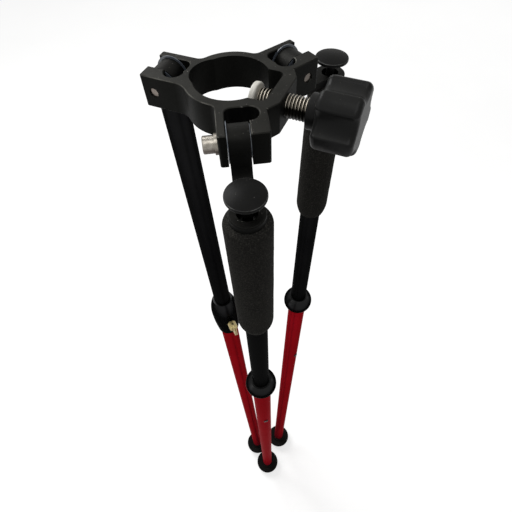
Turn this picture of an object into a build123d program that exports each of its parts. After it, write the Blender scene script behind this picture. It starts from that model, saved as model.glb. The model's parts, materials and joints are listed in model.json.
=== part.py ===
from build123d import *
import os
from math import cos, radians, sin

# A folded pole tripod, in millimetres, +Z up.
# A forked head clamps a surveying pole. Two legs hang on offset brackets and have a thumb
# button that frees an expanding lock at the foot of the upper tube. The third leg is plain
# and is held by a brass thumb screw.
# The pole's axis in the middle of the head's thickness is the origin.

# Fits shared by many pieces
RUNNING_FIT = 0.05          # radial clearance of a pin, stem or screw in its hole
SLIDE_FIT = 0.1             # radial clearance of a guide on a tube
FACE_GAP = 0.2              # clearance beside a swinging tongue

# Head: a plate with a pole opening and three forks
HEAD_THICKNESS = 21.2
HUB_RADIUS = 28.6
OPENING_RADIUS = 23.2
SEAT_RADIUS = 16.0          # concave seat for a 32 mm pole
SEAT_REACH = 26.4           # deepest point of the seat, from the head's centre
POCKET_WIDTH = 30.6         # recess that takes the clamp pad
POCKET_REACH = 28.0
POCKET_CORNER = 4.0
FORK_REACH = 53.7
THIN_EAR = 4.8
THICK_EAR = 10.4
SLOT_END = 29.6             # inner end of a fork's slot, from the head's centre
SLOT_CORNER = 4.5
RELIEF_RADIUS = 6.2         # round relief in the thick ear at the slot's inner end
RELIEF_REACH = 35.6
BOSS_REACH = 36.3           # flat face that the clamp screw enters
BOSS_WIDTH = 26.3
BOSS_FLARE = 4.0            # how far behind its face the boss starts to widen into the forks
BOSS_FLARE_WIDTH = 41.0
EAR_CORNER = 1.5
THIN_SIDE_FILLET = 5.0
THICK_SIDE_FILLET = 14.0
EDGE_BREAK = 0.5

# Hinges
HINGE_REACH = 45.6          # hinge pins, from the head's centre
TONGUE_WIDTH = 12.0
TONGUE_RADIUS = 10.0
HINGE_WASHER = 0.5
WIDE_WASHER_RADIUS = 11.4   # at the thin ear
SMALL_WASHER_RADIUS = 9.2   # at the thick ear
BOLT_RADIUS = 3.0
BOLT_HEAD_RADIUS = 5.0
BOLT_HEAD_HEIGHT = 6.6
BOLT_SOCKET = 5.0           # across the flats of the hexagon socket
BOLT_SOCKET_DEPTH = 3.0
BOLT_RECESS = 0.9           # how far the bolt's end stays inside the thick ear
BOLT_WASHER = 1.8
BOLT_WASHER_RADIUS = 6.0

# Clamp: pad, screw and knob on one axis
PAD_RADIUS = 9.8
PAD_THICKNESS = 4.0
PAD_REACH = 13.8            # face of the pad, from the head's centre
PAD_EDGE = 1.2
PAD_SOCKET_DEPTH = 2.5
SCREW_RADIUS = 7.0
SPIGOT_RADIUS = 3.5
SPIGOT_LENGTH = 2.4
SCREW_END_BREAK = 1.0
HUB_COLLAR_REACH = 49.8     # inner face of the knob's collar, from the head's centre
HUB_COLLAR_RADIUS = 10.5
HUB_COLLAR_LENGTH = 6.3
KNOB_RADIUS = 21.2
KNOB_LENGTH = 25.1
KNOB_LOBES = 5
KNOB_FLUTE_RADIUS = 10.0
KNOB_FLUTE_DEPTH = 4.6
KNOB_CREST_FILLET = 1.4
KNOB_END_FILLET = 3.6
KNOB_FIRST_LOBE = 55.0      # degrees about the screw
KNOB_SCREW_DEPTH = 20.0     # how far the screw goes into the knob, from the collar's face

# Tubes
UPPER_TUBE_RADIUS = 9.525
UPPER_TUBE_WALL = 1.5
LOWER_TUBE_WALL = 1.25
TELESCOPE_GAP = 0.3375      # radial room between the upper tube and the lower one
LOCK_ROOM = 34.0            # room under the lock, above the foot, when the leg is closed
LEAN = {"front": 2.3, "right": 2.0, "left": 1.1}  # degrees that a folded leg leans inwards
GROUND = -1114.0            # floor under the three points, from the hinge plane

# Bracket of a grip leg: tongue, arm and ring in one casting
LEG_OFFSET = 36.7           # tube axis, outwards from the hinge pin
RING_WALL = 1.075           # ring outside the tube
RING_TOP = -16.3
RING_HEIGHT = 5.0
RING_LIP = 1.5
RING_HOLE_STEP = 3.525      # lip that covers the tube's end
RING_EDGE = 1.0
ARM_FILLET = 8.0
HEEL_FILLET = 12.0

# Foam grip
GRIP_WALL = 4.975
GRIP_LENGTH = 136.7
GRIP_SHOULDER = 4.0
GRIP_TAPER = 11.0
GRIP_TAPER_STEP = 2.6

# Thumb button and release mechanism
BUTTON_RADIUS = 11.5
BUTTON_TOP = {"front": -0.3, "right": -3.8}
BUTTON_RIM = 2.4
BUTTON_DOME = 1.4
BUTTON_EDGE = 0.9
STEM_RADIUS = 3.0
STEM_END = -44.0
BUSH_TOP = -22.0
BUSH_LENGTH = 14.0
ROD_RADIUS = 2.0
ROD_IN_STEM = 12.0
SPRING_LENGTH = 26.0
SPRING_TURNS = 7
SPRING_RADIUS = 2.9
SPRING_WIRE = 0.45
SPRING_CLEARANCE = 0.2
SPRING_SEAT = 6.0
COLLET_PLUG = 14.0
COLLET_SLEEVE = 24.0
COLLET_SLIT = 1.4
COLLET_WEB = 5.0            # uncut height above the slits
CONE_SMALL = 3.6
CONE_LARGE = 7.0
CONE_LENGTH = 20.0
CONE_GAP = 0.15

# Round collars on the lower tubes of the grip legs
BALL_WALL = 6.8875          # ball outside the lower tube
BALL_CENTRE = -334.0
BALL_TOP_RIM = 2.0          # flat rim round the upper tube
BALL_LOWER_RIM = 1.0        # flat rim round the lower tube
BALL_TUBE_STOP = 8.0        # lower tube's end below the top of the collar
RIVET_DEPTH = -500.0
RIVET_RADIUS = 3.2
RIVET_PROUD = 0.9
RIVET_TURN = {"front": -78.0, "right": -53.0}

# Collar and thumb screw of the plain leg
COLLAR_WALL = 5.3875        # collar outside the lower tube, where it is widest
COLLAR_TOP = -281.0
COLLAR_LENGTH = 71.0
COLLAR_BELLY = 25.0         # widest place, below the collar's top
COLLAR_TOP_RIM = 2.0
COLLAR_LOWER_RIM = 2.2
COLLAR_EDGE = 1.2
COLLAR_TUBE_STOP = 48.0
BRAKE_DROP = 35.0           # thumb screw, below the collar's top
BRAKE_TURN = -70.0          # degrees, seen from above
BRAKE_PLUG_RADIUS = 2.5
BRAKE_PLUG_LENGTH = 2.0
BRAKE_SCREW_RADIUS = 3.0
WING_HUB_RADIUS = 5.0
WING_HUB_LENGTH = 9.0
WING_HUB_GAP = 1.6
WING_SPAN = 20.0
WING_HEIGHT = 11.0
WING_THICKNESS = 3.2
WING_CORNER = 4.9
WING_EDGE = 0.9
WING_SINK = 5.4             # how deep the wings are set in the hub
WING_HUB_EDGE = 2.0

# Plain leg's hinge plug
PLUG_NECK = -13.0
PLUG_LENGTH = 26.0

# Feet
FOOT_RADIUS = 27.2
FOOT_THICKNESS = 8.0
FOOT_HUB_WALL = 3.3875
FOOT_HUB_HEIGHT = 7.0
FOOT_SOCKET_DEPTH = 11.0
FOOT_EDGE = 3.2
FOOT_HUB_FILLET = 2.8
POINT_LENGTH = 22.0
POINT_RADIUS = 6.0
POINT_TIP_RADIUS = 2.0
POINT_SHOULDER = 6.6        # straight length under the foot
POINT_SHANK_RADIUS = 4.0
POINT_SHANK_LENGTH = 10.0

# How close to its nominal place a corner is looked for before it is rounded
CORNER_SEARCH = 1.5

# Worked out from the sizes above
SLOT_WIDTH = TONGUE_WIDTH + 2 * HINGE_WASHER + 2 * FACE_GAP
SEAT_OFFSET = SEAT_REACH - SEAT_RADIUS
UPPER_BORE_RADIUS = UPPER_TUBE_RADIUS - UPPER_TUBE_WALL
LOWER_BORE_RADIUS = UPPER_TUBE_RADIUS + TELESCOPE_GAP
LOWER_TUBE_RADIUS = LOWER_BORE_RADIUS + LOWER_TUBE_WALL
LOWER_TUBE_END = GROUND + POINT_LENGTH + FOOT_THICKNESS + FOOT_HUB_HEIGHT - FOOT_SOCKET_DEPTH
UPPER_TUBE_END = LOWER_TUBE_END + LOCK_ROOM + COLLET_SLEEVE
RING_RADIUS = UPPER_TUBE_RADIUS + RING_WALL
RING_HOLE_RADIUS = UPPER_TUBE_RADIUS - RING_HOLE_STEP
GRIP_RADIUS = UPPER_TUBE_RADIUS + GRIP_WALL
BALL_RADIUS = LOWER_TUBE_RADIUS + BALL_WALL
COLLAR_RADIUS = LOWER_TUBE_RADIUS + COLLAR_WALL
BRAKE_DEPTH = COLLAR_TOP - BRAKE_DROP
FOOT_HUB_RADIUS = LOWER_TUBE_RADIUS + FOOT_HUB_WALL
RING_BOTTOM = RING_TOP - RING_HEIGHT
GRIP_TUBE_TOP = RING_TOP - RING_LIP
PLAIN_TUBE_TOP = PLUG_NECK - RING_LIP

# Legs: direction from the head's centre, and the side of the fork that has the thick ear
CLAMP_TURN = -30.0
LEGS = {"front": (-90.0, 1), "right": (30.0, -1), "left": (150.0, 1)}
GRIP_LEGS = ("front", "right")
POLE = Vector(SEAT_OFFSET, 0, 0).rotate(Axis.Z, CLAMP_TURN + 180)
FRAME = Location((-POLE.X, -POLE.Y, 0))


def save(name, shape, place=Location()):
    """Write one piece, or a list of like pieces, moved from its own frame to the part's frame."""
    if isinstance(shape, list):
        moved = Compound(children=[FRAME * place * piece for piece in shape])
    else:
        moved = FRAME * place * shape
    export_step(moved, f"parts/{name}.step")


def turned(points):
    """Solid of revolution about Z from (radius, height) points."""
    return revolve(make_face(Plane.XZ * Polyline(*points, close=True)), Axis.Z)


def tube(outer, inner, top, bottom):
    """Straight tube about Z."""
    return turned([(inner, bottom), (outer, bottom), (outer, top), (inner, top)])


def rod(radius, top, bottom):
    """Straight round bar about Z."""
    return turned([(0, bottom), (radius, bottom), (radius, top), (0, top)])


def fork_side(side, thin, thick):
    """Lowest and highest offset across a fork, with the thick ear on the given side."""
    return (-thin, thick) if side > 0 else (-thick, thin)


def across(side):
    """Turn that lays a Z axis across a fork, to one side or the other."""
    return Rot(-90 * side, 0, 0)


def hinge_place(name):
    """Frame of a fork's hinge pin: +X outwards, +Z up."""
    return Rot(0, 0, LEGS[name][0]) * Pos(HINGE_REACH, 0, 0)


def pin_place(name):
    """Frame of a fork's bolt: +Z along the bolt, to the thick ear."""
    return hinge_place(name) * across(LEGS[name][1])


def leg_place(name):
    """Frame of a folded leg: origin on the hinge pin, +Z up along the leg."""
    return hinge_place(name) * Rot(0, LEAN[name], 0)


def tube_place(name):
    """Frame of a leg's tubes: Z is the tube's axis and z = 0 is level with the hinge pin."""
    offset = LEG_OFFSET if name in GRIP_LEGS else 0
    return leg_place(name) * Pos(offset, 0, 0)


def point_depth(name):
    """Height of a leg's point in its tube frame, so that all three stand on the floor."""
    lean = radians(LEAN[name])
    offset = LEG_OFFSET if name in GRIP_LEGS else 0
    return (GROUND + offset * sin(lean)) / cos(lean)


def near(shape, x, y, place=Location()):
    """Vertices of a flat outline close to a point given in a turned frame."""
    spot = (place * Pos(x, y)).position
    return [v for v in shape.vertices() if (Vector(*v) - spot).length < CORNER_SEARCH]


def head_outline():
    """Outside of the head seen from above: hub, three forks and the clamp boss."""
    half_slot = SLOT_WIDTH / 2
    outline = Circle(HUB_RADIUS)
    for turn, side in LEGS.values():
        low, high = fork_side(side, half_slot + THIN_EAR, half_slot + THICK_EAR)
        block = Pos(FORK_REACH / 2, (low + high) / 2) * Rectangle(FORK_REACH, high - low)
        outline += Rot(0, 0, turn) * block
    boss = make_face(Polyline(
        (0, -BOSS_FLARE_WIDTH / 2),
        (BOSS_REACH - BOSS_FLARE, -BOSS_FLARE_WIDTH / 2),
        (BOSS_REACH, -BOSS_WIDTH / 2),
        (BOSS_REACH, BOSS_WIDTH / 2),
        (BOSS_REACH - BOSS_FLARE, BOSS_FLARE_WIDTH / 2),
        (0, BOSS_FLARE_WIDTH / 2),
        close=True,
    ))
    outline += Rot(0, 0, CLAMP_TURN) * boss
    for turn, side in LEGS.values():
        thin = -side * (half_slot + THIN_EAR)
        thin_root = (HUB_RADIUS**2 - thin**2) ** 0.5
        outline = fillet(near(outline, thin_root, thin, Rot(0, 0, turn)), THIN_SIDE_FILLET)
    turn, side = LEGS["left"]
    thick = side * (half_slot + THICK_EAR)
    thick_root = (HUB_RADIUS**2 - thick**2) ** 0.5
    return fillet(near(outline, thick_root, thick, Rot(0, 0, turn)), THICK_SIDE_FILLET)


def head_slot(side):
    """One fork's slot, rounded at its inner end, with the relief in the thick ear."""
    slot = Pos(SLOT_END + FORK_REACH / 2, 0) * Rectangle(FORK_REACH, SLOT_WIDTH)
    slot = fillet(slot.vertices().sort_by(Axis.X)[:2], SLOT_CORNER)
    return slot + Pos(RELIEF_REACH, side * SLOT_WIDTH / 2) * Circle(RELIEF_RADIUS)


def head_opening():
    """Pole opening: main round, pole seat, and the pocket for the clamp pad."""
    pocket = Pos(POCKET_REACH / 2, 0) * Rectangle(POCKET_REACH, POCKET_WIDTH)
    pocket = fillet(pocket.vertices().sort_by(Axis.X)[-2:], POCKET_CORNER)
    seat = Pos(-SEAT_OFFSET, 0) * Circle(SEAT_RADIUS)
    return Rot(0, 0, CLAMP_TURN) * (Circle(OPENING_RADIUS) + pocket + seat)


def make_head():
    """Head plate with its slots, opening, hinge holes and clamp hole."""
    half_slot = SLOT_WIDTH / 2
    flat = head_outline() - head_opening()
    for turn, side in LEGS.values():
        flat -= Rot(0, 0, turn) * head_slot(side)
        for ear in fork_side(side, half_slot + THIN_EAR, half_slot + THICK_EAR):
            flat = fillet(near(flat, FORK_REACH, ear, Rot(0, 0, turn)), EAR_CORNER)
    plate = extrude(flat, HEAD_THICKNESS / 2, both=True)
    rims = plate.faces().filter_by(Axis.Z).sort_by(Axis.Z)
    plate = chamfer([e for face in (rims[0], rims[-1]) for e in face.outer_wire().edges()], EDGE_BREAK)
    hinge_hole = Cylinder(BOLT_RADIUS + RUNNING_FIT, 2 * FORK_REACH)
    for name in LEGS:
        plate -= pin_place(name) * hinge_hole
    clamp_hole = Pos(BOSS_REACH, 0, 0) * Rot(0, 90, 0) * Cylinder(SCREW_RADIUS + RUNNING_FIT, BOSS_REACH)
    return plate - Rot(0, 0, CLAMP_TURN) * clamp_hole


def hinge_bolt():
    """Socket head cap screw about Z, with the underside of its head at z = 0."""
    length = BOLT_WASHER + THIN_EAR + SLOT_WIDTH + THICK_EAR - BOLT_RECESS
    body = rod(BOLT_HEAD_RADIUS, 0, -BOLT_HEAD_HEIGHT) + rod(BOLT_RADIUS, length, 0)
    body = chamfer(body.faces().sort_by(Axis.Z)[0].edges(), EDGE_BREAK)
    socket = RegularPolygon(BOLT_SOCKET / 2, 6, major_radius=False)
    return body - Pos(0, 0, -BOLT_HEAD_HEIGHT) * extrude(socket, BOLT_SOCKET_DEPTH)


def hinge_fasteners(shape):
    """The same fastener at each hinge, its z = 0 on the outside of the thin ear's washer."""
    seat = Pos(0, 0, -(SLOT_WIDTH / 2 + THIN_EAR + BOLT_WASHER))
    return [pin_place(name) * seat * shape for name in LEGS]


def hinge_washers(name):
    """Washers beside a leg's tongue, in the leg's frame: the wider one is at the thin ear."""
    thick_side = LEGS[name][1]
    washers = []
    for side, radius in ((-thick_side, WIDE_WASHER_RADIUS), (thick_side, SMALL_WASHER_RADIUS)):
        ring = tube(radius, BOLT_RADIUS + RUNNING_FIT, HINGE_WASHER, 0)
        washers.append(across(side) * Pos(0, 0, TONGUE_WIDTH / 2) * ring)
    return washers


def tongue_bore():
    """Cut for the hinge pin through a tongue."""
    return across(1) * Cylinder(BOLT_RADIUS + RUNNING_FIT, 2 * TONGUE_WIDTH)


def make_bracket():
    """Offset bracket: round tongue, L-shaped arm and the ring over the tube's end."""
    outline = make_face(Polyline(
        (-TONGUE_RADIUS, 0),
        (-TONGUE_RADIUS, RING_BOTTOM),
        (LEG_OFFSET, RING_BOTTOM),
        (LEG_OFFSET, RING_TOP),
        (TONGUE_RADIUS, RING_TOP),
        (TONGUE_RADIUS, 0),
        close=True,
    ))
    outline = fillet(near(outline, -TONGUE_RADIUS, RING_BOTTOM), HEEL_FILLET)
    outline = fillet(near(outline, TONGUE_RADIUS, RING_TOP), ARM_FILLET)
    outline += Circle(TONGUE_RADIUS)
    arm = extrude(Plane.XZ * outline, TONGUE_WIDTH / 2, both=True)
    ring = Pos(LEG_OFFSET, 0, 0) * rod(RING_RADIUS, RING_TOP, RING_BOTTOM)
    ring = fillet(ring.faces().sort_by(Axis.Z)[-1].edges(), RING_EDGE)
    socket = rod(UPPER_TUBE_RADIUS, GRIP_TUBE_TOP, 2 * RING_BOTTOM)
    hole = rod(RING_HOLE_RADIUS, 0, 2 * RING_BOTTOM)
    return arm + ring - Pos(LEG_OFFSET, 0, 0) * (socket + hole) - tongue_bore()


def make_plug():
    """Plain leg's top: round tongue over a plug that is driven into the tube."""
    tongue = Circle(TONGUE_RADIUS) + Pos(0, PLUG_NECK / 2) * Rectangle(2 * UPPER_TUBE_RADIUS, -PLUG_NECK)
    bar = extrude(Plane.XZ * tongue, TONGUE_WIDTH / 2, both=True)
    neck = rod(UPPER_TUBE_RADIUS, PLUG_NECK, PLAIN_TUBE_TOP)
    plug = rod(UPPER_BORE_RADIUS, PLAIN_TUBE_TOP, PLAIN_TUBE_TOP - PLUG_LENGTH)
    return bar + neck + plug - tongue_bore()


def make_grip():
    """Foam sleeve with a rounded shoulder and a tapered lower end."""
    bottom = RING_BOTTOM - GRIP_LENGTH
    profile = make_face(Polyline(
        (UPPER_TUBE_RADIUS, RING_BOTTOM),
        (GRIP_RADIUS, RING_BOTTOM),
        (GRIP_RADIUS, bottom + GRIP_TAPER),
        (GRIP_RADIUS - GRIP_TAPER_STEP, bottom),
        (UPPER_TUBE_RADIUS, bottom),
        close=True,
    ))
    profile = fillet(near(profile, GRIP_RADIUS, RING_BOTTOM), GRIP_SHOULDER)
    profile = fillet(near(profile, GRIP_RADIUS, bottom + GRIP_TAPER), GRIP_TAPER / 2)
    return revolve(Plane.XZ * profile, Axis.Z)


def make_button(top):
    """Thumb button: domed disc on a stem."""
    underside = top - BUTTON_DOME - BUTTON_RIM
    rim = underside + BUTTON_RIM
    side = Polyline(
        (0, top),
        (0, STEM_END + ROD_IN_STEM),
        (ROD_RADIUS, STEM_END + ROD_IN_STEM),
        (ROD_RADIUS, STEM_END),
        (STEM_RADIUS, STEM_END),
        (STEM_RADIUS, underside),
        (BUTTON_RADIUS, underside),
        (BUTTON_RADIUS, rim),
    )
    dome_radius = (BUTTON_RADIUS**2 + BUTTON_DOME**2) / (2 * BUTTON_DOME)
    dome = RadiusArc((0, top), (BUTTON_RADIUS, rim), dome_radius)
    profile = make_face(side + dome)
    for height in (underside, rim):
        profile = fillet(near(profile, BUTTON_RADIUS, height), BUTTON_EDGE)
    return revolve(Plane.XZ * profile, Axis.Z)


def make_spring():
    """Return spring of the button, of square wire, wound round the rod."""
    coil = Helix(SPRING_LENGTH / SPRING_TURNS, SPRING_LENGTH, SPRING_RADIUS)
    section = Plane(coil @ 0, z_dir=coil % 0) * Rectangle(2 * SPRING_WIRE, 2 * SPRING_WIRE)
    return sweep(section, coil, is_frenet=True)


def make_collet():
    """Expanding lock at the foot of the upper tube: plug above, slit tapered sleeve below."""
    shoulder = UPPER_TUBE_END
    bottom = shoulder - COLLET_SLEEVE
    sleeve_radius = LOWER_BORE_RADIUS - SLIDE_FIT
    body = rod(UPPER_BORE_RADIUS, shoulder + COLLET_PLUG, shoulder) + rod(sleeve_radius, shoulder, bottom)
    body -= rod(ROD_RADIUS + SLIDE_FIT, shoulder + COLLET_PLUG, bottom)
    taper_top = bottom + CONE_LENGTH
    body -= turned([
        (0, bottom),
        (CONE_LARGE + CONE_GAP, bottom),
        (CONE_SMALL + CONE_GAP, taper_top),
        (0, taper_top),
    ])
    slit_height = COLLET_SLEEVE - COLLET_WEB
    slit = Pos(0, 0, bottom + slit_height / 2) * Box(4 * sleeve_radius, COLLET_SLIT, slit_height)
    return body - slit - Rot(0, 0, 90) * slit


def make_cone():
    """Wedge on the end of the release rod, drawn up into the collet by the spring."""
    bottom = UPPER_TUBE_END - COLLET_SLEEVE
    top = bottom + CONE_LENGTH
    wedge = turned([(0, bottom), (CONE_LARGE, bottom), (CONE_SMALL, top), (0, top)])
    return wedge - rod(ROD_RADIUS, top, bottom + ROD_RADIUS)


def make_ball_collar(drop):
    """Round collar pressed on the lower tube's end, guiding the upper tube."""
    centre = BALL_CENTRE + drop
    top = centre + (BALL_RADIUS**2 - (UPPER_TUBE_RADIUS + BALL_TOP_RIM) ** 2) ** 0.5
    bottom = centre - (BALL_RADIUS**2 - (LOWER_TUBE_RADIUS + BALL_LOWER_RIM) ** 2) ** 0.5
    stop = top - BALL_TUBE_STOP
    ball = Pos(0, 0, centre) * Sphere(BALL_RADIUS) & rod(BALL_RADIUS, top, bottom)
    ball -= rod(UPPER_TUBE_RADIUS + SLIDE_FIT, top, bottom)
    return ball - rod(LOWER_TUBE_RADIUS, stop, bottom), stop


def make_brake_collar(drop):
    """Collar of the plain leg, with a threaded hole for the thumb screw."""
    top = COLLAR_TOP + drop
    bottom = top - COLLAR_LENGTH
    stop = top - COLLAR_TUBE_STOP
    top_rim = (UPPER_TUBE_RADIUS + COLLAR_TOP_RIM, top)
    lower_rim = (LOWER_TUBE_RADIUS + COLLAR_LOWER_RIM, bottom)
    belly = (COLLAR_RADIUS, top - COLLAR_BELLY)
    inside = Polyline(
        top_rim,
        (UPPER_TUBE_RADIUS + SLIDE_FIT, top),
        (UPPER_TUBE_RADIUS + SLIDE_FIT, stop),
        (LOWER_TUBE_RADIUS, stop),
        (LOWER_TUBE_RADIUS, bottom),
        lower_rim,
    )
    shoulder = TangentArc(belly, top_rim, tangent=(0, 1))
    skirt = TangentArc(belly, lower_rim, tangent=(0, -1))
    profile = fillet(near(make_face(inside + shoulder + skirt), *lower_rim), COLLAR_EDGE)
    collar = revolve(Plane.XZ * profile, Axis.Z)
    hole = Rot(0, 90, 0) * rod(BRAKE_SCREW_RADIUS + RUNNING_FIT, 2 * COLLAR_RADIUS, 0)
    return collar - brake_place(drop) * hole, stop


def brake_place(drop):
    """Frame of the thumb screw: +X outwards through the collar's wall."""
    lift = Pos(0, 0, BRAKE_DEPTH + drop)
    return lift * Rot(0, 0, BRAKE_TURN - LEGS["left"][0])


def make_brake_plug():
    """Nylon plug that the thumb screw presses on the upper tube."""
    inner = UPPER_TUBE_RADIUS + SLIDE_FIT
    outer = inner + BRAKE_PLUG_LENGTH
    return Rot(0, 90, 0) * rod(BRAKE_PLUG_RADIUS, outer, inner)


def make_thumb_screw():
    """Brass thumb screw: threaded shank, hub and a flat pair of wings."""
    inner = UPPER_TUBE_RADIUS + SLIDE_FIT + BRAKE_PLUG_LENGTH
    hub = COLLAR_RADIUS + WING_HUB_GAP
    shank = rod(BRAKE_SCREW_RADIUS, hub, inner)
    body = rod(WING_HUB_RADIUS, hub + WING_HUB_LENGTH, hub)
    body = fillet(body.faces().sort_by(Axis.Z)[-1].edges(), WING_HUB_EDGE)
    wing = RectangleRounded(WING_SPAN, WING_HEIGHT, WING_CORNER)
    tab = extrude(Plane.XZ * wing, WING_THICKNESS / 2, both=True)
    tab = fillet(tab.faces().filter_by(Axis.Y).edges(), WING_EDGE)
    lift = hub + WING_HUB_LENGTH - WING_SINK + WING_HEIGHT / 2
    return Rot(0, 90, 0) * (shank + body + Pos(0, 0, lift) * tab)


def make_foot(tip):
    """Foot disc with a low hub round the end of the lower tube."""
    bottom = tip + POINT_LENGTH
    top = bottom + FOOT_THICKNESS
    rim = top + FOOT_HUB_HEIGHT
    profile = make_face(Polyline(
        (0, bottom),
        (FOOT_RADIUS, bottom),
        (FOOT_RADIUS, top),
        (FOOT_HUB_RADIUS, top),
        (FOOT_HUB_RADIUS, rim),
        (LOWER_TUBE_RADIUS, rim),
        (LOWER_TUBE_RADIUS, rim - FOOT_SOCKET_DEPTH),
        (0, rim - FOOT_SOCKET_DEPTH),
        close=True,
    ))
    profile = fillet(near(profile, FOOT_RADIUS, top), FOOT_EDGE)
    profile = fillet(near(profile, FOOT_HUB_RADIUS, top), FOOT_HUB_FILLET)
    disc = revolve(Plane.XZ * profile, Axis.Z)
    return disc - rod(POINT_SHANK_RADIUS, bottom + POINT_SHANK_LENGTH, bottom), rim - FOOT_SOCKET_DEPTH


def make_point(tip):
    """Steel point screwed into the foot."""
    shoulder = tip + POINT_LENGTH
    return turned([
        (0, tip),
        (POINT_TIP_RADIUS, tip),
        (POINT_RADIUS, shoulder - POINT_SHOULDER),
        (POINT_RADIUS, shoulder),
        (POINT_SHANK_RADIUS, shoulder),
        (POINT_SHANK_RADIUS, shoulder + POINT_SHANK_LENGTH),
        (0, shoulder + POINT_SHANK_LENGTH),
    ])


def make_knob():
    """Five-lobed clamp knob with a round collar, about Z with its collar's face at z = 0."""
    outline = Circle(KNOB_RADIUS)
    flute_reach = KNOB_RADIUS - KNOB_FLUTE_DEPTH + KNOB_FLUTE_RADIUS
    for lobe in range(KNOB_LOBES):
        turn = (lobe + 0.5) * 360 / KNOB_LOBES
        outline -= Rot(0, 0, turn) * Pos(flute_reach, 0) * Circle(KNOB_FLUTE_RADIUS)
    outline = fillet(outline.vertices(), KNOB_CREST_FILLET)
    body = extrude(outline, KNOB_LENGTH)
    body = fillet(body.faces().filter_by(Axis.Z).edges(), KNOB_END_FILLET)
    collar = rod(HUB_COLLAR_RADIUS, HUB_COLLAR_LENGTH, 0)
    collar = fillet(collar.faces().sort_by(Axis.Z)[0].edges(), EDGE_BREAK)
    knob = Pos(0, 0, HUB_COLLAR_LENGTH) * body + collar
    return knob - rod(SCREW_RADIUS + RUNNING_FIT, KNOB_SCREW_DEPTH + RUNNING_FIT, 0)


def save_clamp():
    """Pad, screw and knob along the clamp's axis."""
    axis = Rot(0, 0, CLAMP_TURN) * Rot(0, 90, 0)
    back = PAD_REACH + PAD_THICKNESS
    pad = rod(PAD_RADIUS, back, PAD_REACH)
    pad = fillet(pad.edges().filter_by(GeomType.CIRCLE), PAD_EDGE)
    pad -= rod(SPIGOT_RADIUS + RUNNING_FIT, back, back - PAD_SOCKET_DEPTH)
    shoulder = back + RUNNING_FIT
    screw = rod(SPIGOT_RADIUS, shoulder, shoulder - SPIGOT_LENGTH)
    shank = rod(SCREW_RADIUS, HUB_COLLAR_REACH + KNOB_SCREW_DEPTH, shoulder)
    screw += chamfer(shank.edges().filter_by(GeomType.CIRCLE), SCREW_END_BREAK)
    save("clamp_pad", pad, axis)
    save("clamp_screw", screw, axis)
    spin = Rot(0, 0, -90 - KNOB_FIRST_LOBE)
    save("clamp_knob", make_knob(), axis * Pos(0, 0, HUB_COLLAR_REACH) * spin)


def save_grip_leg(name):
    """One leg with a thumb button: upper part, release mechanism and lower part."""
    place = tube_place(name)
    drop = point_depth(name) - GROUND
    save(f"{name}_bracket", make_bracket(), leg_place(name))
    upper = tube(UPPER_TUBE_RADIUS, UPPER_BORE_RADIUS, GRIP_TUBE_TOP, UPPER_TUBE_END)
    save(f"{name}_upper_tube", upper, place)
    save(f"{name}_grip", make_grip(), place)
    bush = tube(UPPER_BORE_RADIUS, STEM_RADIUS + RUNNING_FIT, BUSH_TOP, BUSH_TOP - BUSH_LENGTH)
    save(f"{name}_top_bush", bush, place)
    spring_seat = STEM_END - SPRING_LENGTH - 2 * SPRING_WIRE - 2 * SPRING_CLEARANCE
    seat = tube(UPPER_BORE_RADIUS, ROD_RADIUS + SLIDE_FIT, spring_seat, spring_seat - SPRING_SEAT)
    save(f"{name}_spring_seat", seat, place)
    spring_foot = spring_seat + SPRING_WIRE + SPRING_CLEARANCE
    save(f"{name}_spring", make_spring(), place * Pos(0, 0, spring_foot))
    save(f"{name}_button", make_button(BUTTON_TOP[name]), place)
    rod_end = UPPER_TUBE_END - COLLET_SLEEVE + ROD_RADIUS
    save(f"{name}_release_rod", rod(ROD_RADIUS, STEM_END + ROD_IN_STEM, rod_end), place)
    save(f"{name}_lock_cone", make_cone(), place)
    save(f"{name}_lock_collet", make_collet(), place)
    collar, tube_top = make_ball_collar(drop)
    save(f"{name}_collar", collar, place)
    save_lower(name, tube_top, drop)
    rivet = rod(RIVET_RADIUS, LOWER_TUBE_RADIUS + RIVET_PROUD, LOWER_BORE_RADIUS)
    save(f"{name}_stop_rivet", rivet, place * rivet_place(name, drop))


def rivet_place(name, drop):
    """Frame of a lower tube's rivet: +Z outwards through the wall."""
    return Pos(0, 0, RIVET_DEPTH + drop) * Rot(0, 0, RIVET_TURN[name] - LEGS[name][0]) * Rot(0, 90, 0)


def save_lower(name, tube_top, drop):
    """Lower tube, foot and steel point of any leg."""
    place = tube_place(name)
    tip = GROUND + drop
    foot, tube_end = make_foot(tip)
    lower = tube(LOWER_TUBE_RADIUS, LOWER_BORE_RADIUS, tube_top, tube_end)
    if name in GRIP_LEGS:
        lower -= rivet_place(name, drop) * rod(RIVET_RADIUS, LOWER_TUBE_RADIUS, 0)
    save(f"{name}_lower_tube", lower, place)
    save(f"{name}_foot", foot, place)
    save(f"{name}_point", make_point(tip), place)


def save_plain_leg(name):
    """The leg with the thumb screw."""
    place = tube_place(name)
    drop = point_depth(name) - GROUND
    save(f"{name}_hinge_plug", make_plug(), place)
    upper = tube(UPPER_TUBE_RADIUS, UPPER_BORE_RADIUS, PLAIN_TUBE_TOP, UPPER_TUBE_END)
    save(f"{name}_upper_tube", upper, place)
    guide = rod(UPPER_BORE_RADIUS, UPPER_TUBE_END + COLLET_PLUG, UPPER_TUBE_END)
    guide += rod(LOWER_BORE_RADIUS - SLIDE_FIT, UPPER_TUBE_END, UPPER_TUBE_END - COLLET_PLUG)
    save(f"{name}_slide_guide", guide, place)
    collar, tube_top = make_brake_collar(drop)
    save(f"{name}_collar", collar, place)
    save("brake_plug", make_brake_plug(), place * brake_place(drop))
    save("thumb_screw", make_thumb_screw(), place * brake_place(drop))
    save_lower(name, tube_top, drop)


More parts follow.
